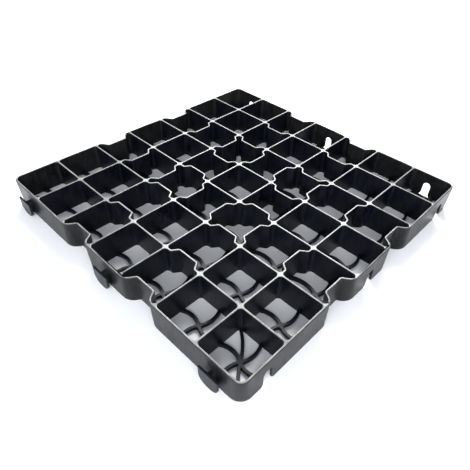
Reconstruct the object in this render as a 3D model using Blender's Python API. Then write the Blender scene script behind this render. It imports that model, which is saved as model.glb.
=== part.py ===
# An interlocking ground grid panel: a square lattice of open cells with a thin
# strand floor, hooks on two sides and hook slots on the other two.
# The one-piece moulding is modelled as its separate members: four outer walls,
# the dividing walls both ways, the floor strands both ways, the corner braces,
# the hooks and the keepers behind the slots. Neighbouring members keep a small gap.
# X and Y run along the panel's sides, Z is up, and the origin is on the underside
# at the middle of the centre cell. Lengths are metres.

import math

import bmesh
import bpy
from mathutils import Matrix, Vector

# Driving dimensions
PANEL_SIZE = 0.330
HEIGHT = 0.0285
OUTER_WALL = 0.0022
INNER_WALL = 0.0020
CELLS = 7
KINKED_CELLS = (2, 4)
KINKED_PITCH = 0.04555
INNER_KINK = 0.0066
OUTER_KINK = 0.0090
KINK_START = 0.12
KINK_END = 0.28
CORNER_RADIUS = 0.0090
FILLET_RADIUS = 0.0032
GAP = 0.0003
BRIDGE_HEIGHT = HEIGHT / 2

STRAND_WIDTH = 0.0027
STRAND_HEIGHT = 0.0035
STRAND_BULGE = 0.145
BRACE_BULGE = 0.06

CLIP_SPACING = 0.137
SLOT_WIDTH = 0.0084
SLOT_HEIGHT = 0.0170
SLOT_MOUTH = 0.0126
SLOT_FLARE = 0.0040
HOOK_WIDTH = 0.0206
HOOK_HEIGHT = 0.0170
HOOK_REACH = 0.0037
HOOK_PLATE = 0.0021
HOOK_CORNER = 0.0085
STEM_WIDTH = 0.0070
STEM_HEIGHT = 0.0155
KEEPER_LENGTH = 0.0250
KEEPER_LEG = 0.0016
KEEPER_DEPTH = 0.0042

# Facets of the round stretches
KINK_STEPS = 3
FILLET_STEPS = 2
CORNER_STEPS = 4
STRAND_STEPS = 2
ARCH_STEPS = 4

# Worked-out sizes
WALL_LINE = (PANEL_SIZE - OUTER_WALL) / 2
PLAIN_PITCH = (2 * WALL_LINE - len(KINKED_CELLS) * KINKED_PITCH) / (CELLS - len(KINKED_CELLS))
CROSS_REACH = INNER_WALL / 2 + FILLET_RADIUS
STUB_REACH = OUTER_WALL / 2 + FILLET_RADIUS
STRAND_ANGLE = 2 * math.atan(2 * STRAND_BULGE)
STRAND_SLANT = STRAND_ANGLE * (1 - 1 / STRAND_STEPS)
STRAND_END_GAP = GAP + STRAND_WIDTH / 2 * math.sin(STRAND_ANGLE)

COLOURS = {
    "outer_wall": (0.020, 0.021, 0.024),
    "divider": (0.014, 0.015, 0.018),
    "strand": (0.012, 0.013, 0.017),
    "clip": (0.018, 0.019, 0.022),
}


def gridLines():
    lines = [-WALL_LINE]
    for cell in range(CELLS):
        pitch = KINKED_PITCH if cell in KINKED_CELLS else PLAIN_PITCH
        lines.append(lines[-1] + pitch)
    return lines


LINES = gridLines()
CENTRES = [(a + b) / 2 for a, b in zip(LINES, LINES[1:])]


def kinkSign(index):
    # every wall steps towards the middle of the panel
    return 1 if index <= CELLS // 2 else -1


def arc(centre, radius, start, end, steps):
    points = []
    for step in range(steps + 1):
        angle = math.radians(start + (end - start) * step / steps)
        points.append((centre[0] + radius * math.cos(angle), centre[1] + radius * math.sin(angle)))
    return points


def kinkPoints(cell, depth, side, half):
    # one face of a wall through a kinked cell: a smooth step over, a flat run, a step back
    first, last = LINES[cell], LINES[cell + 1]
    pitch = last - first
    length = (KINK_END - KINK_START) * pitch
    points = []
    for step in range(KINK_STEPS + 1):
        share = step / KINK_STEPS
        along = first + KINK_START * pitch + share * length
        over = depth * (1 - math.cos(math.pi * share)) / 2
        slope = depth * math.pi / (2 * length) * math.sin(math.pi * share)
        scale = side * half / math.hypot(1, slope)
        points.append((along - scale * slope, over + scale))
    middle = (first + last) / 2
    mirrored = [(2 * middle - along, over) for along, over in reversed(points)]
    return points + mirrored


def branchPoints(line, side, half):
    # the rounded root of a crossing wall, out to its end and back
    out = side * (half + FILLET_RADIUS)
    before = arc((line - CROSS_REACH, out), FILLET_RADIUS, -90 * side, 0, FILLET_STEPS)
    after = arc((line + CROSS_REACH, out), FILLET_RADIUS, 180, 180 + 90 * side, FILLET_STEPS)
    return before + after


def wallFace(depth, side, half, branches):
    points = []
    for cell in range(CELLS):
        if cell in KINKED_CELLS:
            points += kinkPoints(cell, depth, side, half)
        if branches and cell < CELLS - 1:
            points += branchPoints(LINES[cell + 1], side, half)
    return points


def dividerOutline(depth):
    half = INNER_WALL / 2
    end = WALL_LINE - STUB_REACH - GAP
    lower = [(-end, -half)] + wallFace(depth, -1, half, True) + [(end, -half)]
    upper = [(-end, half)] + wallFace(depth, 1, half, True) + [(end, half)]
    return lower + upper[::-1]


def outerOutline():
    # along the wall and inwards from its centre line; the ends are cut halfway round the corners
    half = OUTER_WALL / 2
    mitre = 45 + math.degrees(GAP / 2 / CORNER_RADIUS)
    centre = (PANEL_SIZE / 2 - CORNER_RADIUS, CORNER_RADIUS - half)
    outside = arc(centre, CORNER_RADIUS, -90, -mitre, CORNER_STEPS)
    inside = arc(centre, CORNER_RADIUS - OUTER_WALL, -90, -mitre, CORNER_STEPS)
    mirrored = [(-along, over) for along, over in outside[::-1]]
    outer = mirrored + wallFace(OUTER_KINK, -1, half, False) + outside
    mirrored = [(-along, over) for along, over in inside[::-1]]
    inner = mirrored + wallFace(OUTER_KINK, 1, half, True) + inside
    return outer + inner[::-1]


def strandArc(start, end, side):
    # a thin arc from start to end that bulges to one side; the far end is left out
    chord = math.dist(start, end)
    along = ((end[0] - start[0]) / chord, (end[1] - start[1]) / chord)
    across = (-along[1] * side, along[0] * side)
    sagitta = STRAND_BULGE * chord
    radius = (chord * chord / 4 + sagitta * sagitta) / (2 * sagitta)
    points = []
    for step in range(STRAND_STEPS):
        angle = STRAND_ANGLE * (2 * step / STRAND_STEPS - 1)
        reach = chord / 2 + radius * math.sin(angle)
        rise = sagitta - radius * (1 - math.cos(angle))
        points.append((start[0] + reach * along[0] + rise * across[0],
                       start[1] + reach * along[1] + rise * across[1]))
    return points


def ribbonOutline(path, width):
    # both edges of a strip of even width along a path
    left, right = [], []
    last = len(path) - 1
    for index, (x, y) in enumerate(path):
        before, after = path[max(index - 1, 0)], path[min(index + 1, last)]
        angle = math.atan2(after[1] - before[1], after[0] - before[0])
        offset = (-math.sin(angle) * width / 2, math.cos(angle) * width / 2)
        left.append((x + offset[0], y + offset[1]))
        right.append((x - offset[0], y - offset[1]))
    return right + left[::-1]


def wallInnerFace(cell):
    kink = OUTER_KINK if cell in KINKED_CELLS else 0
    return WALL_LINE - kink - OUTER_WALL / 2


def strandPath(row):
    # along +X: up and over before each cell centre, down and under after it
    first = -wallInnerFace(row) + STRAND_END_GAP
    last = wallInnerFace(row) - STRAND_END_GAP
    if row in clipCells():
        last = WALL_LINE - OUTER_WALL / 2 - GAP - KEEPER_DEPTH - STRAND_WIDTH - STRAND_END_GAP
    kink = INNER_KINK if row in KINKED_CELLS else 0
    crossings = [first]
    crossings += [LINES[line] + kinkSign(line) * kink for line in range(1, CELLS)]
    crossings.append(last)
    path = []
    for cell in range(CELLS):
        path += strandArc((crossings[cell], 0), (CENTRES[cell], 0), 1)
        path += strandArc((CENTRES[cell], 0), (crossings[cell + 1], 0), -1)
    path.append((last, 0))
    return path


def clipCells():
    return (0, CELLS // 2, CELLS - 1)


def clipPlaces():
    return (-CLIP_SPACING, 0, CLIP_SPACING)


def archProfile(width, height, mouth, flare, base):
    # along the wall and up: straight sides under a half-round top, spread at the foot
    half = width / 2
    top = arc((0, height - half), half, 0, 180, ARCH_STEPS)
    return [(mouth / 2, base), (half, flare)] + top + [(-half, flare), (-mouth / 2, base)]


def plateProfile():
    half = HOOK_WIDTH / 2
    right = arc((half - HOOK_CORNER, HOOK_CORNER), HOOK_CORNER, -90, 0, CORNER_STEPS)
    left = arc((HOOK_CORNER - half, HOOK_CORNER), HOOK_CORNER, 180, 270, CORNER_STEPS)
    return right + [(half, HOOK_HEIGHT), (-half, HOOK_HEIGHT)] + left


def addFace(mesh, outline):
    corners = [mesh.verts.new((x, y, 0)) for x, y in outline]
    return mesh.faces.new(corners)


def extrudeOutlines(outlines, bottom, top):
    # closed upright bodies, one for each outline
    mesh = bmesh.new()
    for outline in outlines:
        addFace(mesh, outline)
    bmesh.ops.remove_doubles(mesh, verts=mesh.verts, dist=1e-6)
    sides = bmesh.ops.extrude_face_region(mesh, geom=mesh.faces[:])
    raised = [item for item in sides["geom"] if isinstance(item, bmesh.types.BMVert)]
    bmesh.ops.translate(mesh, verts=raised, vec=(0, 0, top - bottom))
    bmesh.ops.translate(mesh, verts=mesh.verts, vec=(0, 0, bottom))
    bmesh.ops.recalc_face_normals(mesh, faces=mesh.faces)
    return mesh


def standUp(mesh, thickness):
    # turns a profile drawn along X and up Y into a slab that stands on X and is centred across Y
    bmesh.ops.translate(mesh, verts=mesh.verts, vec=(0, 0, -thickness / 2))
    bmesh.ops.rotate(mesh, verts=mesh.verts, matrix=Matrix.Rotation(math.pi / 2, 3, "X"))


def makeMaterial(name):
    material = bpy.data.materials.new(name)
    material.use_nodes = True
    surface = material.node_tree.nodes["Principled BSDF"]
    surface.inputs["Base Color"].default_value = (*COLOURS[name], 1)
    surface.inputs["Roughness"].default_value = 0.35
    surface.inputs["Metallic"].default_value = 0.0
    return material


def addObject(name, mesh, material):
    data = bpy.data.meshes.new(name)
    mesh.to_mesh(data)
    mesh.free()
    part = bpy.data.objects.new(name, data)
    bpy.context.scene.collection.objects.link(part)
    if material:
        data.materials.append(material)
    return part


def addCutter(name, mesh):
    cutter = addObject(name, mesh, None)
    cutter.hide_render = True
    cutter.display_type = "WIRE"
    return cutter


def addBoolean(part, other, operation):
    modifier = part.modifiers.new(other.name, "BOOLEAN")
    modifier.operation = operation
    modifier.solver = "EXACT"
    modifier.object = other


def blockOutline(centre, length, width, angle):
    turn = Matrix.Rotation(angle, 2)
    corners = []
    for along, across in ((-1, -1), (1, -1), (1, 1), (-1, 1)):
        corner = Vector(centre) + turn @ Vector((along * length / 2, across * width / 2))
        corners.append(corner[:])
    return corners


def crossingBlocks():
    size = 2 * (CROSS_REACH + GAP)
    return [blockOutline((line, 0), size, size, 0) for line in LINES[1:-1]]


def notchBlocks(sign, slant):
    # where the floor strands pass under a divider, at its middle in every cell
    length = 4 * INNER_WALL
    blocks = []
    for cell in range(CELLS):
        over = sign * INNER_KINK if cell in KINKED_CELLS else 0
        blocks.append(blockOutline((CENTRES[cell], over), length, STRAND_WIDTH + 2 * GAP, slant))
    return blocks


def makeOuterWalls(material):
    # side name and quarter turns from the front; the hook slots are in the right and back walls
    outerMesh = extrudeOutlines([outerOutline()], 0, HEIGHT)
    bmesh.ops.translate(outerMesh, verts=outerMesh.verts, vec=(0, -WALL_LINE, 0))
    for side, turns in (("front", 0), ("right", 1), ("back", 2), ("left", 3)):
        wall = addObject("outer_wall_" + side, outerMesh.copy(), material)
        wall.rotation_euler.z = turns * math.pi / 2
        if side in ("right", "back"):
            cutter = makeSlotCutter("slot_cutter_" + side)
            cutter.rotation_euler.z = turns * math.pi / 2
            addBoolean(wall, cutter, "DIFFERENCE")
    outerMesh.free()


def makeSlotCutter(name):
    # reaches a little below the wall, so that the slots are open at the foot
    depth = 3 * OUTER_WALL
    profile = archProfile(SLOT_WIDTH, SLOT_HEIGHT, SLOT_MOUTH, SLOT_FLARE, -GAP)
    shifted = [[(x + place, z) for x, z in profile] for place in clipPlaces()]
    mesh = extrudeOutlines(shifted, 0, depth)
    standUp(mesh, depth)
    bmesh.ops.translate(mesh, verts=mesh.verts, vec=(0, -WALL_LINE, 0))
    return addCutter(name, mesh)


def makeDividers(material):
    # at each crossing the X wall carries the lower half of the junction and the Y wall the upper half
    for line in range(1, CELLS):
        sign = kinkSign(line)
        outline = dividerOutline(sign * INNER_KINK)

        along = addObject(f"divider_x_{line}", extrudeOutlines([outline], 0, HEIGHT), material)
        along.location.y = LINES[line]
        crossings = extrudeOutlines(crossingBlocks(), BRIDGE_HEIGHT - GAP / 2, 2 * HEIGHT)
        notches = extrudeOutlines(notchBlocks(sign, math.pi / 2 + STRAND_SLANT),
                                  -HEIGHT, STRAND_HEIGHT + GAP)
        for label, mesh in (("crossing", crossings), ("notch", notches)):
            cutter = addCutter(f"{label}_cutter_x_{line}", mesh)
            cutter.location = along.location
            addBoolean(along, cutter, "DIFFERENCE")

        # the same wall turned to run along Y, which mirrors the side it steps to
        outline = dividerOutline(-sign * INNER_KINK)
        across = addObject(f"divider_y_{line}", extrudeOutlines([outline], 0, HEIGHT), material)
        across.location.x = LINES[line]
        across.rotation_euler.z = math.pi / 2
        crossings = extrudeOutlines(crossingBlocks(), -HEIGHT, BRIDGE_HEIGHT + GAP / 2)
        notches = extrudeOutlines(notchBlocks(-sign, STRAND_SLANT - math.pi / 2),
                                  -HEIGHT, STRAND_HEIGHT + GAP)
        for label, mesh in (("crossing", crossings), ("notch", notches)):
            cutter = addCutter(f"{label}_cutter_y_{line}", mesh)
            cutter.location = across.location
            cutter.rotation_euler = across.rotation_euler
            addBoolean(across, cutter, "DIFFERENCE")


def makeStrands(material):
    # at each cell centre the X strand passes under the Y strand
    for row in range(CELLS):
        outline = ribbonOutline(strandPath(row), STRAND_WIDTH)
        mesh = extrudeOutlines([outline], 0, STRAND_HEIGHT)
        laps = [blockOutline((x, 0), STRAND_WIDTH + 2 * GAP, 4 * STRAND_WIDTH, -STRAND_SLANT)
                for x in CENTRES]
        for direction, low, high in (("x", (STRAND_HEIGHT - GAP) / 2, HEIGHT),
                                     ("y", -HEIGHT, (STRAND_HEIGHT + GAP) / 2)):
            strand = addObject(f"strand_{direction}_{row + 1}", mesh.copy(), material)
            cutter = addCutter(f"lap_cutter_{direction}_{row + 1}", extrudeOutlines(laps, low, high))
            if direction == "x":
                strand.location.y = CENTRES[row]
            else:
                strand.location.x = CENTRES[row]
                strand.rotation_euler.z = math.pi / 2
            cutter.location = strand.location
            cutter.rotation_euler = strand.rotation_euler
            addBoolean(strand, cutter, "DIFFERENCE")
        mesh.free()


def braceOutline(start, end, bulge):
    # a slightly bowed strip between two distances along the X axis
    chord = end - start
    path = []
    for step in range(STRAND_STEPS + 1):
        share = step / STRAND_STEPS
        path.append((start + share * chord, -4 * bulge * chord * share * (1 - share)))
    return ribbonOutline(path, STRAND_WIDTH)


def makeBraces(material):
    # in each corner cell one bowed brace runs from the cell centre to the panel's corner
    # and one from the cell centre to the crossing opposite
    hub = CENTRES[-1]
    hubClear = 0.0056
    corner = (PANEL_SIZE / 2 - CORNER_RADIUS - hub) * math.sqrt(2) + CORNER_RADIUS - OUTER_WALL
    crossing = (hub - LINES[-2] - CROSS_REACH) * math.sqrt(2) + FILLET_RADIUS
    corners = (("front_right", -45), ("back_right", 45), ("back_left", 135), ("front_left", -135))
    for label, angle in corners:
        x = math.copysign(hub, math.cos(math.radians(angle)))
        y = math.copysign(hub, math.sin(math.radians(angle)))
        for end, reach, turn in (("outer", corner, 0), ("inner", crossing, 180)):
            outline = braceOutline(hubClear, reach - 4 * GAP, BRACE_BULGE)
            brace = addObject(f"brace_{label}_{end}", extrudeOutlines([outline], 0, STRAND_HEIGHT), material)
            brace.location = (x, y, 0)
            brace.rotation_euler.z = math.radians(angle + turn)


def makeKeepers(material):
    # a low bracket on the inside of each slotted wall, just deep enough for a hook
    face = OUTER_WALL / 2 + GAP
    legs = face + KEEPER_DEPTH
    back = legs + STRAND_WIDTH
    half = KEEPER_LENGTH / 2
    inner = half - KEEPER_LEG
    outline = [(-half, face), (-inner, face), (-inner, legs), (inner, legs),
               (inner, face), (half, face), (half, back), (-half, back)]
    for side, turns in (("right", 1), ("back", 2)):
        for index, place in enumerate(clipPlaces()):
            shifted = [(x + place, y - WALL_LINE) for x, y in outline]
            mesh = extrudeOutlines([shifted], 0, STRAND_HEIGHT)
            keeper = addObject(f"keeper_{side}_{index + 1}", mesh, material)
            keeper.rotation_euler.z = turns * math.pi / 2


def makeHooks(material):
    # a plate that stands off the wall on a narrow stem
    face = PANEL_SIZE / 2
    plateMiddle = face + HOOK_REACH + HOOK_PLATE / 2
    stemStart = face + GAP
    stemLength = HOOK_REACH - GAP + HOOK_PLATE / 2
    for side, turns in (("front", 0), ("left", 3)):
        for index, place in enumerate(clipPlaces()):
            plate = extrudeOutlines([plateProfile()], 0, HOOK_PLATE)
            standUp(plate, HOOK_PLATE)
            bmesh.ops.translate(plate, verts=plate.verts, vec=(place, -plateMiddle, 0))
            profile = archProfile(STEM_WIDTH, STEM_HEIGHT, STEM_WIDTH, SLOT_FLARE, SLOT_FLARE / 2)
            stem = extrudeOutlines([profile], 0, stemLength)
            standUp(stem, stemLength)
            bmesh.ops.translate(stem, verts=stem.verts, vec=(place, -stemStart - stemLength / 2, 0))
            hook = addObject(f"hook_{side}_{index + 1}", plate, material)
            stemGuide = addCutter(f"stem_{side}_{index + 1}", stem)
            for piece in (hook, stemGuide):
                piece.rotation_euler.z = turns * math.pi / 2
            addBoolean(hook, stemGuide, "UNION")


def main():
    for existing in list(bpy.data.objects):
        bpy.data.objects.remove(existing)
    bpy.context.scene.unit_settings.system = "METRIC"
    makeOuterWalls(makeMaterial("outer_wall"))
    makeDividers(makeMaterial("divider"))
    strandMaterial = makeMaterial("strand")
    makeStrands(strandMaterial)
    makeBraces(strandMaterial)
    clipMaterial = makeMaterial("clip")
    makeKeepers(clipMaterial)
    makeHooks(clipMaterial)


main()
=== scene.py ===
import math

import bmesh
import bpy
from mathutils import Euler, Matrix, Vector


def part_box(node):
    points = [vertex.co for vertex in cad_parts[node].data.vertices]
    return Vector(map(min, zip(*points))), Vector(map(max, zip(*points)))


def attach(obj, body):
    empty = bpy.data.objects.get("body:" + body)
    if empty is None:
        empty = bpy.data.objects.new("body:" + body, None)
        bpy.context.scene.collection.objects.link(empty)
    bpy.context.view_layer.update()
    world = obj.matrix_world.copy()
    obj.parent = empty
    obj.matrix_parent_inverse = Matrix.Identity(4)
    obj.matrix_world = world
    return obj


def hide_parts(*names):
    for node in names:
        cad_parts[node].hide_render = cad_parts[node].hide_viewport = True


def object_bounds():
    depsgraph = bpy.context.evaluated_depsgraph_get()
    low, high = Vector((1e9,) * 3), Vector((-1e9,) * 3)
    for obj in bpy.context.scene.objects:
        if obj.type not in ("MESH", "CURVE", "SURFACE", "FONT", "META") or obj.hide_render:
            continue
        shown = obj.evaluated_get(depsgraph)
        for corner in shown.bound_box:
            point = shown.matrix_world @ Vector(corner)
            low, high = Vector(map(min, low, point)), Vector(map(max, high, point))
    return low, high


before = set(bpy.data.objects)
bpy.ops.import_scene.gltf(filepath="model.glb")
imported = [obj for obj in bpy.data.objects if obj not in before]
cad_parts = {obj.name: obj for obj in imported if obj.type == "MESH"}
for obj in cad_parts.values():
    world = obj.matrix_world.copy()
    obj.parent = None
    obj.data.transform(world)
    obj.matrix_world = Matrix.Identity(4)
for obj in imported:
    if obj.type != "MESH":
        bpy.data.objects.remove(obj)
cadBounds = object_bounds()

# The interlocking ground grid panel's looks: every wall, strand, brace, keeper and hook of the
# frame gets a finer piece in its place. Lengths are metres.
panel = {
    "innerWall": 0.0020,
    "outerWall": 0.0022,
    "rootRadius": 0.0032,
    "cornerRadius": 0.0072,
    "footCornerRadius": 0.0115,
    "innerRim": 0.00075,
    "outerRim": 0.00095,
    "footRound": 0.00020,
    "kinkedCells": (2, 4),
}
rimSteps = 4
rootSteps = 7
cornerSteps = 10
bendSteps = 6
outerSideLevels = 5
sharpAngle = math.radians(40)

cellCount = 7
height = cadBounds[1].z
outerFace = -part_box("outer_wall_front")[0].y
wallLine = outerFace - panel["outerWall"] / 2
crossReach = panel["innerWall"] / 2 + panel["rootRadius"]
stubReach = panel["outerWall"] / 2 + panel["rootRadius"]


def kinkSign(line):
    # every wall steps towards the middle of the panel
    return 1 if line <= cellCount // 2 else -1


def dividerLine(line):
    # a dividing wall's centre line, on the side of its box that the kinks don't reach
    low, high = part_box(f"divider_y_{line}")
    return low.x + crossReach if kinkSign(line) > 0 else high.x - crossReach


lines = [-wallLine] + [dividerLine(line) for line in range(1, cellCount)] + [wallLine]
centres = [(first + last) / 2 for first, last in zip(lines, lines[1:])]


def loftRings(mesh, rings):
    # a closed body through rings of equal length, with a flat face at each end
    loops = [[mesh.verts.new(point) for point in ring] for ring in rings]
    count = len(loops[0])
    for lower, upper in zip(loops, loops[1:]):
        for index in range(count):
            after = (index + 1) % count
            mesh.faces.new((lower[index], lower[after], upper[after], upper[index]))
    mesh.faces.new(loops[0][::-1])
    mesh.faces.new(loops[-1])


def addPiece(node, mesh, material):
    # finishes a mesh as one piece that rides on the panel and stands for its node
    bmesh.ops.recalc_face_normals(mesh, faces=mesh.faces)
    name = node + "_moulding"
    data = bpy.data.meshes.new(name)
    mesh.to_mesh(data)
    mesh.free()
    data.materials.append(material)
    data.shade_smooth()
    data.set_sharp_from_angle(angle=sharpAngle)
    piece = bpy.data.objects.new(name, data)
    bpy.context.scene.collection.objects.link(piece)
    weighted = piece.modifiers.new("Even normals", "WEIGHTED_NORMAL")
    weighted.keep_sharp = True
    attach(piece, "root")
    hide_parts(node)
    return piece


def arc(centre, radius, start, end, steps):
    points = []
    for step in range(steps + 1):
        angle = math.radians(start + (end - start) * step / steps)
        points.append((centre[0] + radius * math.cos(angle), centre[1] + radius * math.sin(angle)))
    return points


def quarterTurned(points, turns):
    # points given along the front wall, turned about the panel's middle
    turn = Matrix.Rotation(turns * math.pi / 2, 3, "Z")
    return [turn @ Vector(point) for point in points]


def wallLevels(rim, sideLevels=0):
    # height and inset of each ring, from the foot to the rounded rim
    foot = panel["footRound"]
    levels = [(0, foot), (foot, 0)]
    levels += [(height * level / (sideLevels + 1), 0) for level in range(1, sideLevels + 1)]
    for step in range(rimSteps + 1):
        angle = math.pi / 2 * step / rimSteps
        levels.append((height - rim * (1 - math.sin(angle)), rim * (1 - math.cos(angle))))
    return levels


def newGroup(name, inputs, outputs):
    group = bpy.data.node_groups.new(name, "ShaderNodeTree")
    for label, kind, value in inputs:
        entry = group.interface.new_socket(label, in_out="INPUT", socket_type=kind)
        entry.default_value = value
    for label, kind in outputs:
        group.interface.new_socket(label, in_out="OUTPUT", socket_type=kind)
    source = group.nodes.new("NodeGroupInput")
    result = group.nodes.new("NodeGroupOutput")
    return group, source, result


def addNode(tree, kind, settings=None, values=None):
    node = tree.nodes.new(kind)
    for key, value in (settings or {}).items():
        setattr(node, key, value)
    for key, value in (values or {}).items():
        node.inputs[key].default_value = value
    return node


def mathNode(tree, operation, first, second, clamp=False):
    node = addNode(tree, "ShaderNodeMath", {"operation": operation, "use_clamp": clamp})
    for index, value in enumerate((first, second)):
        if isinstance(value, (int, float)):
            node.inputs[index].default_value = value
        else:
            tree.links.new(value, node.inputs[index])
    return node.outputs[0]


def rangeNode(tree, value, low, high, outLow=0.0, outHigh=1.0):
    node = addNode(tree, "ShaderNodeMapRange", {"interpolation_type": "SMOOTHSTEP"},
                   {"From Min": low, "From Max": high, "To Min": outLow, "To Max": outHigh})
    tree.links.new(value, node.inputs["Value"])
    return node.outputs["Result"]


def noiseNode(tree, vector, scale, detail, roughness=0.5, distortion=0.0):
    node = addNode(tree, "ShaderNodeTexNoise", None,
                   {"Scale": scale, "Detail": detail, "Roughness": roughness, "Distortion": distortion})
    tree.links.new(vector, node.inputs["Vector"])
    return node.outputs["Fac"]


def stretchedVector(tree, coordinates, stretch):
    node = addNode(tree, "ShaderNodeMapping", None, {"Scale": stretch})
    tree.links.new(coordinates, node.inputs["Vector"])
    return node.outputs["Vector"]


flowMarks = {
    "streakStretch": (1, 1, 0.28),
    "streakScale": 190,
    "streakLow": 0.30,
    "streakHigh": 0.72,
    "sharpnessReach": 0.2,
    "cloudScale": 26,
    "cloudRange": (0.30, 0.70),
}


def makeFlowGroup():
    # drifting streaks where the hot plastic ran through the mould
    group, source, result = newGroup(
        "flow marks",
        [("Vector", "NodeSocketVector", (0, 0, 0)), ("Sharpness", "NodeSocketFloat", 0.5)],
        [("Mask", "NodeSocketFloat"), ("Cloud", "NodeSocketFloat")])
    stretched = stretchedVector(group, source.outputs["Vector"], flowMarks["streakStretch"])
    streaks = noiseNode(group, stretched, flowMarks["streakScale"], 5, 0.62, 0.8)
    cloud = noiseNode(group, source.outputs["Vector"], flowMarks["cloudScale"], 3, 0.55, 0.4)
    low = mathNode(group, "MULTIPLY_ADD", source.outputs["Sharpness"], flowMarks["sharpnessReach"])
    low.node.inputs[2].default_value = flowMarks["streakLow"]
    mask = addNode(group, "ShaderNodeMapRange", {"interpolation_type": "SMOOTHSTEP"},
                   {"From Max": flowMarks["streakHigh"], "To Min": 0.0, "To Max": 1.0})
    group.links.new(streaks, mask.inputs["Value"])
    group.links.new(low, mask.inputs["From Min"])
    group.links.new(mask.outputs["Result"], result.inputs["Mask"])
    group.links.new(rangeNode(group, cloud, *flowMarks["cloudRange"]), result.inputs["Cloud"])
    return group


# the top band of the walls is painted pale as a painted highlight; the scuffed patches on it are wear
# and painted highlight together
rimHighlightAndWear = {
    "full": 0.00004,
    "gone": 0.00034,
    "patchScale": 85,
    "patchShare": 0.7,
    "scratchScale": 900,
    "scratchShare": 0.3,
    "brokenRange": (0.40, 0.62),
}


def makeRimGroup():
    # upward faces at the top of the walls, painted paler as a painted highlight and broken up by
    # scuffs, which are wear and a brighter painted highlight together
    group, source, result = newGroup(
        "rim highlight and wear",
        [("Vector", "NodeSocketVector", (0, 0, 0)), ("Rim Height", "NodeSocketFloat", 0.0285),
         ("Scuff Highlight", "NodeSocketFloat", 0.5)],
        [("Rim", "NodeSocketFloat"), ("Worn Highlight", "NodeSocketFloat")])
    place = group.nodes.new("ShaderNodeSeparateXYZ")
    group.links.new(source.outputs["Vector"], place.inputs[0])
    below = mathNode(group, "SUBTRACT", source.outputs["Rim Height"], place.outputs["Z"])
    near = rangeNode(group, below, rimHighlightAndWear["full"], rimHighlightAndWear["gone"], 1.0, 0.0)
    patches = noiseNode(group, source.outputs["Vector"], rimHighlightAndWear["patchScale"], 6, 0.68, 0.3)
    scratches = noiseNode(group, source.outputs["Vector"], rimHighlightAndWear["scratchScale"], 3, 0.6)
    mixed = mathNode(group, "ADD", mathNode(group, "MULTIPLY", patches, rimHighlightAndWear["patchShare"]),
                     mathNode(group, "MULTIPLY", scratches, rimHighlightAndWear["scratchShare"]))
    broken = rangeNode(group, mixed, *rimHighlightAndWear["brokenRange"])
    wornHighlight = mathNode(group, "MULTIPLY", mathNode(group, "MULTIPLY", near, broken),
                    source.outputs["Scuff Highlight"])
    group.links.new(near, result.inputs["Rim"])
    group.links.new(wornHighlight, result.inputs["Worn Highlight"])
    return group


mouldGrain = {
    "fineScale": 1500,
    "sinkScale": 70,
    "sinkStretch": (1, 1, 0.45),
    "nickScale": 160,
    "nickWidth": 0.03,
    "nickDepth": 0.12,
}


def makeGrainGroup():
    # fine mould grain, shallow sinks and a few nicks, as one height
    group, source, result = newGroup(
        "mould grain",
        [("Vector", "NodeSocketVector", (0, 0, 0)), ("Fine", "NodeSocketFloat", 0.4),
         ("Sinks", "NodeSocketFloat", 1.0)],
        [("Height", "NodeSocketFloat")])
    fine = noiseNode(group, source.outputs["Vector"], mouldGrain["fineScale"], 3, 0.6)
    stretched = stretchedVector(group, source.outputs["Vector"], mouldGrain["sinkStretch"])
    sinks = noiseNode(group, stretched, mouldGrain["sinkScale"], 2, 0.5)
    nicks = addNode(group, "ShaderNodeTexVoronoi", {"feature": "DISTANCE_TO_EDGE"},
                    {"Scale": mouldGrain["nickScale"]})
    group.links.new(source.outputs["Vector"], nicks.inputs["Vector"])
    cut = rangeNode(group, nicks.outputs["Distance"], 0.0, mouldGrain["nickWidth"],
                    -mouldGrain["nickDepth"], 0.0)
    total = mathNode(group, "ADD", mathNode(group, "MULTIPLY", fine, source.outputs["Fine"]),
                     mathNode(group, "MULTIPLY", sinks, source.outputs["Sinks"]))
    group.links.new(mathNode(group, "ADD", total, cut), result.inputs["Height"])
    return group


footDust = {
    "speckScale": 420,
    "speckRange": (0.52, 0.72),
}


def makeDustGroup():
    # pale grit that gathers low on the walls and on whatever faces up near the ground
    group, source, result = newGroup(
        "foot dust",
        [("Vector", "NodeSocketVector", (0, 0, 0)), ("Reach", "NodeSocketFloat", 0.008)],
        [("Mask", "NodeSocketFloat")])
    place = group.nodes.new("ShaderNodeSeparateXYZ")
    group.links.new(source.outputs["Vector"], place.inputs[0])
    level = mathNode(group, "DIVIDE", place.outputs["Z"], source.outputs["Reach"])
    low = rangeNode(group, level, 0.0, 1.0, 1.0, 0.0)
    grit = noiseNode(group, source.outputs["Vector"], footDust["speckScale"], 5, 0.7)
    specks = rangeNode(group, grit, *footDust["speckRange"])
    group.links.new(mathNode(group, "MULTIPLY", low, specks), result.inputs["Mask"])
    return group


flowGroup = makeFlowGroup()
rimGroup = makeRimGroup()
grainGroup = makeGrainGroup()
dustGroup = makeDustGroup()
print("shader groups ready")


def useGroup(tree, group, vector, values):
    node = tree.nodes.new("ShaderNodeGroup")
    node.node_tree = group
    tree.links.new(vector, node.inputs["Vector"])
    for key, value in values.items():
        node.inputs[key].default_value = value
    return node


def mixColour(tree, factor, first, second):
    node = addNode(tree, "ShaderNodeMix", {"data_type": "RGBA"})
    tree.links.new(factor, node.inputs["Factor"])
    for name, value in (("A", first), ("B", second)):
        socket = [entry for entry in node.inputs if entry.name == name and entry.type == "RGBA"][0]
        if isinstance(value, tuple):
            socket.default_value = (*value, 1)
        else:
            tree.links.new(value, socket)
    return [entry for entry in node.outputs if entry.type == "RGBA"][0]


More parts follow.
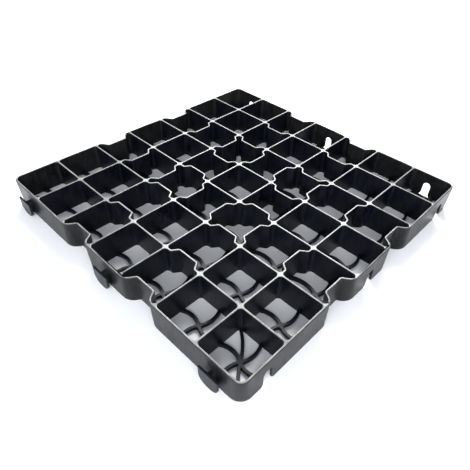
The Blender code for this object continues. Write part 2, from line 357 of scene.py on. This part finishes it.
def plasticMaterial(name, look):
    material = bpy.data.materials.new(name)
    material.use_nodes = True
    tree = material.node_tree
    surface = tree.nodes["Principled BSDF"]
    coordinates = tree.nodes.new("ShaderNodeTexCoord").outputs["Object"]
    flow = useGroup(tree, flowGroup, coordinates, {"Sharpness": look["streakSharpness"]})
    rim = useGroup(tree, rimGroup, coordinates, {"Rim Height": height, "Scuff Highlight": look["scuffHighlight"]})
    grain = useGroup(tree, grainGroup, coordinates, {"Fine": look["fine"], "Sinks": look["sinks"]})
    dust = useGroup(tree, dustGroup, coordinates, {"Reach": look["dustReach"]})

    body = mixColour(tree, flow.outputs["Cloud"], look["dark"], look["light"])
    streaked = mixColour(tree, mathNode(tree, "MULTIPLY", flow.outputs["Mask"], look["streaks"]),
                         body, look["streakColour"])
    dusted = mixColour(tree, mathNode(tree, "MULTIPLY", dust.outputs["Mask"], look["dust"]),
                       streaked, look["dustColour"])
    # painted highlight: the rim band is mixed towards a pale colour, and the scuffed patches towards a
    # paler one, as wear and painted highlight
    rimHighlighted = mixColour(tree, mathNode(tree, "MULTIPLY", rim.outputs["Rim"], look["rimHighlightShare"]),
                       dusted, look["rimHighlightColour"])
    wornHighlight = mixColour(tree, rim.outputs["Worn Highlight"], rimHighlighted, look["wornHighlightColour"])
    tree.links.new(wornHighlight, surface.inputs["Base Color"])

    streakGloss = mathNode(tree, "MULTIPLY", flow.outputs["Mask"], look["streakRoughness"])
    rimGloss = mathNode(tree, "MULTIPLY", rim.outputs["Rim"], look["rimRoughness"])
    dustGloss = mathNode(tree, "MULTIPLY", dust.outputs["Mask"], look["dust"] * look["dustRoughness"])
    cloudGloss = mathNode(tree, "MULTIPLY", flow.outputs["Cloud"], look["cloudRoughness"])
    total = mathNode(tree, "ADD", mathNode(tree, "ADD", streakGloss, rimGloss),
                     mathNode(tree, "ADD", dustGloss, cloudGloss))
    tree.links.new(mathNode(tree, "ADD", total, look["roughness"], clamp=True),
                   surface.inputs["Roughness"])
    bump = addNode(tree, "ShaderNodeBump", None,
                   {"Strength": look["bumpStrength"], "Distance": look["bumpDistance"]})
    tree.links.new(grain.outputs["Height"], bump.inputs["Height"])
    tree.links.new(bump.outputs["Normal"], surface.inputs["Normal"])
    tree.links.new(mathNode(tree, "MULTIPLY", rim.outputs["Rim"], look["rimCoat"]),
                   surface.inputs["Coat Weight"])
    surface.inputs["Coat Roughness"].default_value = look["coatRoughness"]
    surface.inputs["Coat IOR"].default_value = look["coatIor"]
    surface.inputs["IOR"].default_value = look["ior"]
    surface.inputs["Specular IOR Level"].default_value = look["specular"]
    return material


# the dividers' and strands' dark base colours are painted shade: they are the same plastic as the outer
# walls, whose base is painted lighter below
shadedPlasticLook = {
    "dark": (0.0012, 0.0017, 0.0042),
    "light": (0.0034, 0.0041, 0.0078),
    "streaks": 0.35,
    "streakSharpness": 0.5,
    "streakColour": (0.016, 0.017, 0.022),
    "streakRoughness": 0.10,
    "cloudRoughness": 0.08,
    "roughness": 0.26,
    # pale rim colour: painted highlight
    "rimHighlightShare": 0.75,
    "rimHighlightColour": (0.15, 0.15, 0.153),
    "rimRoughness": 0.06,
    "rimCoat": 0.45,
    "coatRoughness": 0.25,
    "coatIor": 1.50,
    "scuffHighlight": 0.8,
    # paler scuffs on the rims: wear and painted highlight
    "wornHighlightColour": (0.24, 0.24, 0.24),
    "dust": 0.35,
    "dustReach": 0.006,
    "dustColour": (0.12, 0.115, 0.105),
    "dustRoughness": 0.4,
    "fine": 0.25,
    "sinks": 0.9,
    "bumpStrength": 0.5,
    "bumpDistance": 0.0004,
    "ior": 1.50,
    "specular": 0.17,
}
# the outer walls' base colours, about three times lighter than the dividers' and strands', are painted
# light
litOuterLook = dict(shadedPlasticLook, dark=(0.0032, 0.0035, 0.0048), light=(0.0095, 0.0097, 0.0105),
                 roughness=0.27, streaks=0.8, streakColour=(0.0145, 0.0145, 0.014),
                 # painted highlight on the outer walls' rims, with wear as well in the scuffs
                 rimHighlightColour=(0.12, 0.12, 0.122), rimCoat=0.6, wornHighlightColour=(0.22, 0.22, 0.22))
strandLook = dict(shadedPlasticLook, dark=(0.0012, 0.0024, 0.0075), light=(0.0032, 0.0052, 0.0120),
                  roughness=0.32, specular=0.24, dust=0.10, dustReach=0.004, scuffHighlight=0.0,
                  streaks=0.15, bumpDistance=0.00015)
clipLook = dict(shadedPlasticLook, dark=(0.0035, 0.0042, 0.0068), light=(0.0085, 0.0092, 0.0120),
                roughness=0.34, specular=0.26)

outerMaterial = plasticMaterial("outer wall plastic painted lit", litOuterLook)
dividerMaterial = plasticMaterial("divider plastic painted shaded", shadedPlasticLook)
strandMaterial = plasticMaterial("strand plastic painted shaded", strandLook)
clipMaterial = plasticMaterial("clip plastic", clipLook)
print("materials ready")


# how a wall steps over in a kinked cell: from "start" past the line, a first bend, a slanted
# run and a second bend
outerBend = {"depth": 0.0090, "start": 0.00175, "first": 0.0080, "second": 0.0026, "angle": 57}
innerBend = {"depth": 0.0066, "start": 0.00555, "first": 0.0026, "second": 0.0026, "angle": 55}
# the outer bend's first radius at the foot, and how soon it and the corners open out on the way down
footBend = 0.0125
openingPower = 1.5


def kinkCourse(cell, bend, sign):
    # a wall's centre line through a kinked cell: along, over and heading
    angle = math.radians(bend["angle"])
    first, second = bend["first"], bend["second"]
    straight = (bend["depth"] - (first + second) * (1 - math.cos(angle))) / math.sin(angle)
    length = (first + second) * math.sin(angle) + straight * math.cos(angle)
    start = lines[cell] + bend["start"]
    course = []
    for step in range(bendSteps + 1):
        turn = angle * step / bendSteps
        course.append((start + first * math.sin(turn), first * (1 - math.cos(turn)), turn))
    for step in range(bendSteps + 1):
        turn = angle * (1 - step / bendSteps)
        course.append((start + length - second * math.sin(turn),
                       bend["depth"] - second * (1 - math.cos(turn)), turn))
    middle = centres[cell]
    course += [(2 * middle - along, over, -turn) for along, over, turn in reversed(course)]
    return [(along, sign * over, sign * turn) for along, over, turn in course]


def rootPoints(line, side, half, inset):
    # the rounded root of a crossing wall, out to its end and back
    out = side * (half + panel["rootRadius"])
    radius = panel["rootRadius"] + inset
    before = arc((line - crossReach, out), radius, -90 * side, 0, rootSteps)
    after = arc((line + crossReach, out), radius, 180, 180 + 90 * side, rootSteps)
    return before + after


def kinkFace(cell, bend, sign, side, half, inset, clear=0.0):
    # leaves out what lies within the clear distance of the crossing walls
    reach = side * (half - inset)
    return [(along - math.sin(turn) * reach, over + math.cos(turn) * reach)
            for along, over, turn in kinkCourse(cell, bend, sign)
            if lines[cell] + clear < along < lines[cell + 1] - clear]


def wallFace(bend, sign, side, half, inset, roots):
    points = []
    for cell in range(cellCount):
        if cell in panel["kinkedCells"]:
            clear = crossReach + half if roots else -crossReach
            points += kinkFace(cell, bend, sign, side, half, inset, clear)
        if roots and cell < cellCount - 1:
            points += rootPoints(lines[cell + 1], side, half, inset)
    return points


def openedBend(share):
    # the outer bend with a wider first radius, its slanted run left where it was
    wider = (footBend - outerBend["first"]) * share
    shift = wider * math.tan(math.radians(outerBend["angle"]) / 2)
    return dict(outerBend, first=outerBend["first"] + wider, start=outerBend["start"] - shift)


def outerOutline(up, inset):
    # the corners and the outer bends open out towards the foot
    half = panel["outerWall"] / 2
    drop = (1 - up / height) ** openingPower
    radius = panel["cornerRadius"] * (1 - drop) + panel["footCornerRadius"] * drop
    centre = (outerFace - radius, radius - half)
    outside = arc(centre, radius - inset, -90, -45, cornerSteps)
    inside = arc(centre, radius - panel["outerWall"] + inset, -90, -45, cornerSteps)
    outer = [(-along, over) for along, over in outside[::-1]]
    outer += wallFace(openedBend(drop), 1, -1, half, inset, False) + outside
    inner = [(-along, over) for along, over in inside[::-1]]
    inner += wallFace(outerBend, 1, 1, half, inset, True) + inside
    return outer + inner[::-1]


slotLook = {
    "spacing": 0.137,
    "width": 0.0084,
    "height": 0.0170,
    "mouth": 0.0146,
    "flare": 0.0046,
    "lip": 0.0006,
}
slotSteps = 14
lipSteps = 3
mouthSteps = 6


def archProfile(width, top, mouth, flare, base, grow=0.0):
    # round at the crown, with lips that curve out to the mouth
    half = width / 2
    crown = arc((0, top - half), half + grow, 0, 180, slotSteps)
    if mouth <= width:
        return [(half + grow, base)] + crown + [(-half - grow, base)]
    lips = []
    for step in range(mouthSteps + 1):
        angle = math.pi / 2 * step / mouthSteps
        lips.append((mouth / 2 - (mouth / 2 - half) * math.sin(angle) + grow,
                     flare * (1 - math.cos(angle))))
    lips[0] = (mouth / 2 + grow, base)
    return lips + crown + [(-along, up) for along, up in reversed(lips)]


def slotPlaces():
    return (-slotLook["spacing"], 0, slotLook["spacing"])


def cutSlots(wall, turns):
    mesh = bmesh.new()
    lip = slotLook["lip"]
    half = panel["outerWall"] / 2
    sections = [(-2 * half, lip)]
    for step in range(lipSteps + 1):
        angle = math.pi / 2 * step / lipSteps
        sections.append((-half + lip * math.sin(angle), lip * math.cos(angle) ** 2))
    sections += [(-over, grow) for over, grow in reversed(sections)]
    for place in slotPlaces():
        rings = []
        for over, grow in sections:
            profile = archProfile(slotLook["width"], slotLook["height"], slotLook["mouth"],
                                  slotLook["flare"], -panel["footRound"], grow)
            ring = [(along + place, over - wallLine, up) for along, up in profile]
            rings.append(quarterTurned(ring, turns))
        loftRings(mesh, rings)
    bmesh.ops.recalc_face_normals(mesh, faces=mesh.faces)
    data = bpy.data.meshes.new("slots")
    mesh.to_mesh(data)
    mesh.free()
    cutter = bpy.data.objects.new("slots", data)
    bpy.context.scene.collection.objects.link(cutter)
    cut = wall.modifiers.new("Slots", "BOOLEAN")
    cut.operation = "DIFFERENCE"
    cut.solver = "EXACT"
    cut.object = cutter
    wall.modifiers.move(wall.modifiers.find("Slots"), 0)
    bpy.context.view_layer.objects.active = wall
    with bpy.context.temp_override(object=wall, active_object=wall):
        bpy.ops.object.modifier_apply(modifier="Slots")
    bpy.data.objects.remove(cutter)
    wall.data.shade_smooth()
    wall.data.set_sharp_from_angle(angle=sharpAngle)


def makeOuterWalls():
    for side, turns in (("front", 0), ("right", 1), ("back", 2), ("left", 3)):
        mesh = bmesh.new()
        rings = []
        for up, inset in wallLevels(panel["outerRim"], outerSideLevels):
            ring = [(along, over - wallLine, up) for along, over in outerOutline(up, inset)]
            rings.append(quarterTurned(ring, turns))
        loftRings(mesh, rings)
        wall = addPiece(f"outer_wall_{side}", mesh, outerMaterial)
        if side in ("right", "back"):
            cutSlots(wall, turns)


def makeDividersX():
    # these carry the rounded junctions
    half = panel["innerWall"] / 2
    end = wallLine - stubReach
    for line in range(1, cellCount):
        sign = kinkSign(line)
        mesh = bmesh.new()
        rings = []
        for up, inset in wallLevels(panel["innerRim"]):
            lower = [(-end, inset - half)] + wallFace(innerBend, sign, -1, half, inset, True)
            upper = [(-end, half - inset)] + wallFace(innerBend, sign, 1, half, inset, True)
            lower.append((end, inset - half))
            upper.append((end, half - inset))
            rings.append([(x, y + lines[line], up) for x, y in lower + upper[::-1]])
        loftRings(mesh, rings)
        addPiece(f"divider_x_{line}", mesh, dividerMaterial)


def makeDividersY():
    # seven runs between the junctions of the other dividers
    half = panel["innerWall"] / 2
    for line in range(1, cellCount):
        sign = kinkSign(line)
        mesh = bmesh.new()
        for cell in range(cellCount):
            start = lines[cell] + (crossReach if cell else stubReach)
            end = lines[cell + 1] - (crossReach if cell < cellCount - 1 else stubReach)
            kinked = cell in panel["kinkedCells"]
            rings = []
            for up, inset in wallLevels(panel["innerRim"]):
                lower, upper = [(start, inset - half)], [(start, half - inset)]
                if kinked:
                    lower += kinkFace(cell, innerBend, sign, -1, half, inset)
                    upper += kinkFace(cell, innerBend, sign, 1, half, inset)
                lower.append((end, inset - half))
                upper.append((end, half - inset))
                rings.append([(lines[line] + over, along, up) for along, over in lower + upper[::-1]])
            loftRings(mesh, rings)
        addPiece(f"divider_y_{line}", mesh, dividerMaterial)


makeOuterWalls()
print("outer walls ready")
makeDividersX()
makeDividersY()
print("dividers ready")


strandSizes = {
    "width": 0.0027,
    "height": 0.0035,
    "bulge": 0.145,
    "round": 0.0004,
    "braceBulge": 0.06,
    "hubRadius": 0.0016,
}
armSteps = 12
strandRoundSteps = 3
# strips that cross each other differ in height by this much, so that no two tops coincide
levelStep = 0.00005
keeperSizes = {
    "length": 0.0250,
    "leg": 0.0016,
    "depth": 0.0042,
    "bar": 0.0027,
    "height": 0.0035,
}


def strandLevels(top, edge):
    levels = [(0, 0.0)]
    for step in range(strandRoundSteps + 1):
        angle = math.pi / 2 * step / strandRoundSteps
        levels.append((top - edge * (1 - math.sin(angle)), edge * (1 - math.cos(angle))))
    return levels


def strandArc(start, end, side):
    # a thin arc that bulges to one side; the far end is left out
    chord = end - start
    sagitta = strandSizes["bulge"] * chord
    radius = (chord * chord / 4 + sagitta * sagitta) / (2 * sagitta)
    widest = 2 * math.atan(2 * strandSizes["bulge"])
    points = []
    for step in range(armSteps):
        angle = widest * (2 * step / armSteps - 1)
        points.append((start + chord / 2 + radius * math.sin(angle),
                       side * (sagitta - radius * (1 - math.cos(angle)))))
    return points


def strandPath(row):
    kinked = row in panel["kinkedCells"]
    wallFaceIn = wallLine - (outerBend["depth"] if kinked else 0)
    kink = innerBend["depth"] if kinked else 0
    last = wallFaceIn
    if row in (0, cellCount // 2, cellCount - 1):
        last = wallLine - panel["outerWall"] / 2 - keeperSizes["depth"] - keeperSizes["bar"] / 2
    crossings = [-wallFaceIn]
    crossings += [lines[line] + kinkSign(line) * kink for line in range(1, cellCount)]
    crossings.append(last)
    path = []
    for cell in range(cellCount):
        path += strandArc(crossings[cell], centres[cell], 1)
        path += strandArc(centres[cell], crossings[cell + 1], -1)
    path.append((last, 0))
    return path


def ribbonOutline(path, width):
    left, right = [], []
    last = len(path) - 1
    for index, (x, y) in enumerate(path):
        before, after = path[max(index - 1, 0)], path[min(index + 1, last)]
        angle = math.atan2(after[1] - before[1], after[0] - before[0])
        offset = (-math.sin(angle) * width / 2, math.cos(angle) * width / 2)
        left.append((x + offset[0], y + offset[1]))
        right.append((x - offset[0], y - offset[1]))
    return right + left[::-1]


def ribbonBody(mesh, path, top, place):
    # a strip with a rounded top along a path; place turns (x, y) into the panel's coordinates
    rings = []
    for up, inset in strandLevels(top, strandSizes["round"]):
        outline = ribbonOutline(path, strandSizes["width"] - 2 * inset)
        rings.append([(*place(x, y), up) for x, y in outline])
    loftRings(mesh, rings)


def hubOutline(centre, inset):
    # four short arms with rounded roots, turned to the slant of the strands at their crossing
    half = strandSizes["width"] / 2 - inset
    radius = strandSizes["hubRadius"] + inset
    reach = strandSizes["width"] / 2 + strandSizes["hubRadius"]
    slant = -2 * math.atan(2 * strandSizes["bulge"])
    points = []
    for quarter in range(4):
        turn = Matrix.Rotation(slant + quarter * math.pi / 2, 2)
        for x, y in arc((reach, reach), radius, 270, 180, rootSteps):
            points.append(Vector(centre) + turn @ Vector((x, y)))
    return [(point.x, point.y) for point in points]


def makeStrands():
    top = strandSizes["height"]
    hubTop = top - levelStep
    for row in range(cellCount):
        path = strandPath(row)
        mesh = bmesh.new()
        ribbonBody(mesh, path, top, lambda x, y: (x, y + centres[row]))
        for centre in centres:
            rings = []
            for up, inset in strandLevels(hubTop, strandSizes["round"] / 2):
                rings.append([(x, y, up) for x, y in hubOutline((centre, centres[row]), inset)])
            loftRings(mesh, rings)
        addPiece(f"strand_x_{row + 1}", mesh, strandMaterial)
        mesh = bmesh.new()
        ribbonBody(mesh, path, top - 2 * levelStep, lambda x, y: (centres[row] - y, x))
        addPiece(f"strand_y_{row + 1}", mesh, strandMaterial)


def makeBraces():
    # bowed strips from the hub of each corner cell to the corner and to the crossing opposite
    hub = centres[-1]
    radius = panel["footCornerRadius"]
    corner = (outerFace - radius - hub) * math.sqrt(2) + radius - panel["outerWall"] / 2
    crossing = (hub - lines[-2]) * math.sqrt(2)
    corners = (("front_right", -45), ("back_right", 45), ("back_left", 135), ("front_left", -135))
    for label, degrees in corners:
        middle = Vector((math.copysign(hub, math.cos(math.radians(degrees))),
                         math.copysign(hub, math.sin(math.radians(degrees)))))
        for end, reach, turn in (("outer", corner, 0), ("inner", crossing, 180)):
            spin = Matrix.Rotation(math.radians(degrees + turn), 2)
            path = []
            for step in range(armSteps + 1):
                share = step / armSteps
                bow = -4 * strandSizes["braceBulge"] * reach * share * (1 - share)
                path.append((share * reach, bow))
            mesh = bmesh.new()
            ribbonBody(mesh, path, strandSizes["height"] - 3 * levelStep,
                       lambda x, y: tuple(middle + spin @ Vector((x, y))))
            addPiece(f"brace_{label}_{end}", mesh, strandMaterial)


makeStrands()
makeBraces()
print("strands ready")


hookSizes = {
    "width": 0.0206,
    "height": 0.0170,
    "plate": 0.0021,
    "corner": 0.0085,
    "stemWidth": 0.0070,
    "stemHeight": 0.0155,
    "edge": 0.0005,
}
edgeSteps = 3


def keeperOutline(inset):
    half = keeperSizes["length"] / 2 - inset
    inner = keeperSizes["length"] / 2 - keeperSizes["leg"] + inset
    face = panel["outerWall"] / 2 - panel["footRound"]
    front = panel["outerWall"] / 2 + keeperSizes["depth"] + inset
    back = front + keeperSizes["bar"] - 2 * inset
    return [(-half, face), (-inner, face), (-inner, front), (inner, front),
            (inner, face), (half, face), (half, back), (-half, back)]


def makeKeepers():
    for side, turns in (("right", 1), ("back", 2)):
        for index, place in enumerate(slotPlaces()):
            mesh = bmesh.new()
            rings = []
            for up, inset in strandLevels(keeperSizes["height"] + 2 * levelStep, hookSizes["edge"]):
                ring = [(x + place, y - wallLine, up) for x, y in keeperOutline(inset)]
                rings.append(quarterTurned(ring, turns))
            loftRings(mesh, rings)
            addPiece(f"keeper_{side}_{index + 1}", mesh, clipMaterial)


def plateOutline(inset):
    half = hookSizes["width"] / 2
    corner = hookSizes["corner"]
    right = arc((half - corner, corner), corner - inset, -90, 0, cornerSteps)
    left = arc((corner - half, corner), corner - inset, 180, 270, cornerSteps)
    top = hookSizes["height"] - inset
    return right + [(half - inset, top), (inset - half, top)] + left


def makeHooks():
    edge, thickness = hookSizes["edge"], hookSizes["plate"]
    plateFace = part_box("hook_front_1")[0].y
    sections = []
    for step in range(edgeSteps + 1):
        angle = math.pi / 2 * step / edgeSteps
        sections.append((edge * (1 - math.cos(angle)), edge * (1 - math.sin(angle))))
    sections += [(thickness - depth, inset) for depth, inset in reversed(sections)]
    stem = archProfile(hookSizes["stemWidth"], hookSizes["stemHeight"], hookSizes["stemWidth"],
                       slotLook["flare"], slotLook["flare"] / 2)
    for side, turns in (("front", 0), ("left", 3)):
        for index, place in enumerate(slotPlaces()):
            mesh = bmesh.new()
            rings = []
            for depth, inset in sections:
                ring = [(x + place, plateFace + depth, up) for x, up in plateOutline(inset)]
                rings.append(quarterTurned(ring, turns))
            loftRings(mesh, rings)
            rings = []
            for over in (plateFace + thickness / 2, -outerFace + panel["outerWall"] / 2):
                rings.append(quarterTurned([(x + place, over, up) for x, up in stem], turns))
            loftRings(mesh, rings)
            addPiece(f"hook_{side}_{index + 1}", mesh, clipMaterial)


makeKeepers()
makeHooks()
print("clips ready")


floorLook = {
    "size": 8.0,
    "drop": 0.0001,
    "colour": (0.84, 0.855, 0.89),
    "roughness": 0.75,
}


def makeFloor():
    mesh = bmesh.new()
    bmesh.ops.create_grid(mesh, x_segments=1, y_segments=1, size=floorLook["size"] / 2)
    data = bpy.data.meshes.new("floor")
    mesh.to_mesh(data)
    mesh.free()
    floor = bpy.data.objects.new("floor", data)
    floor.location.z = -floorLook["drop"]
    bpy.context.scene.collection.objects.link(floor)
    material = bpy.data.materials.new("pale floor")
    material.use_nodes = True
    surface = material.node_tree.nodes["Principled BSDF"]
    surface.inputs["Base Color"].default_value = (*floorLook["colour"], 1)
    surface.inputs["Roughness"].default_value = floorLook["roughness"]
    data.materials.append(material)


lightLook = {
    "lampColour": (1.0, 1.0, 1.0),
    "backPower": 40.0,
    "backSize": (0.9, 0.55),
    "backDistance": 1.25,
    "backElevation": 43,
    "backAzimuth": 128.7,
    "fillPower": 24.0,
    "fillSize": (1.6, 0.5),
    "fillDistance": 1.3,
    "fillElevation": 28,
    "fillAzimuth": -51.3,
    "worldColour": (0.94, 0.965, 1.0),
    "worldStrength": 0.66,
}


def addSoftbox(name, label):
    # a rectangular lamp that faces the panel's middle
    elevation = math.radians(lightLook[label + "Elevation"])
    azimuth = math.radians(lightLook[label + "Azimuth"])
    direction = Vector((math.cos(azimuth) * math.cos(elevation),
                        math.sin(azimuth) * math.cos(elevation), math.sin(elevation)))
    lamp = bpy.data.lights.new(name, "AREA")
    lamp.shape = "RECTANGLE"
    lamp.size, lamp.size_y = lightLook[label + "Size"]
    lamp.energy = lightLook[label + "Power"]
    lamp.color = lightLook["lampColour"]
    holder = bpy.data.objects.new(name, lamp)
    holder.location = direction * lightLook[label + "Distance"]
    holder.rotation_euler = direction.to_track_quat("Z", "Y").to_euler()
    bpy.context.scene.collection.objects.link(holder)


def makeLights():
    addSoftbox("back_softbox", "back")
    addSoftbox("front_fill", "fill")
    world = bpy.data.worlds.new("studio")
    world.use_nodes = True
    background = world.node_tree.nodes["Background"]
    background.inputs["Color"].default_value = (*lightLook["worldColour"], 1)
    background.inputs["Strength"].default_value = lightLook["worldStrength"]
    bpy.context.scene.world = world


cameraLook = {
    "place": (0.25989, -0.27012, 0.29462),
    "angles": (46.996, -2.230, 43.444),
    "lens": 33.087,
    "shift": (-0.03622, 0.01008),
    "sensor": 36,
    "clipStart": 0.01,
}


def makeCamera():
    data = bpy.data.cameras.new("camera")
    data.sensor_width = cameraLook["sensor"]
    data.lens = cameraLook["lens"]
    data.shift_x, data.shift_y = cameraLook["shift"]
    data.clip_start = cameraLook["clipStart"]
    camera = bpy.data.objects.new("camera", data)
    camera.location = cameraLook["place"]
    camera.rotation_euler = Euler([math.radians(angle) for angle in cameraLook["angles"]])
    bpy.context.scene.collection.objects.link(camera)
    bpy.context.scene.camera = camera


makeFloor()
makeLights()
makeCamera()
bpy.context.scene.view_settings.view_transform = "Standard"
print("studio ready")
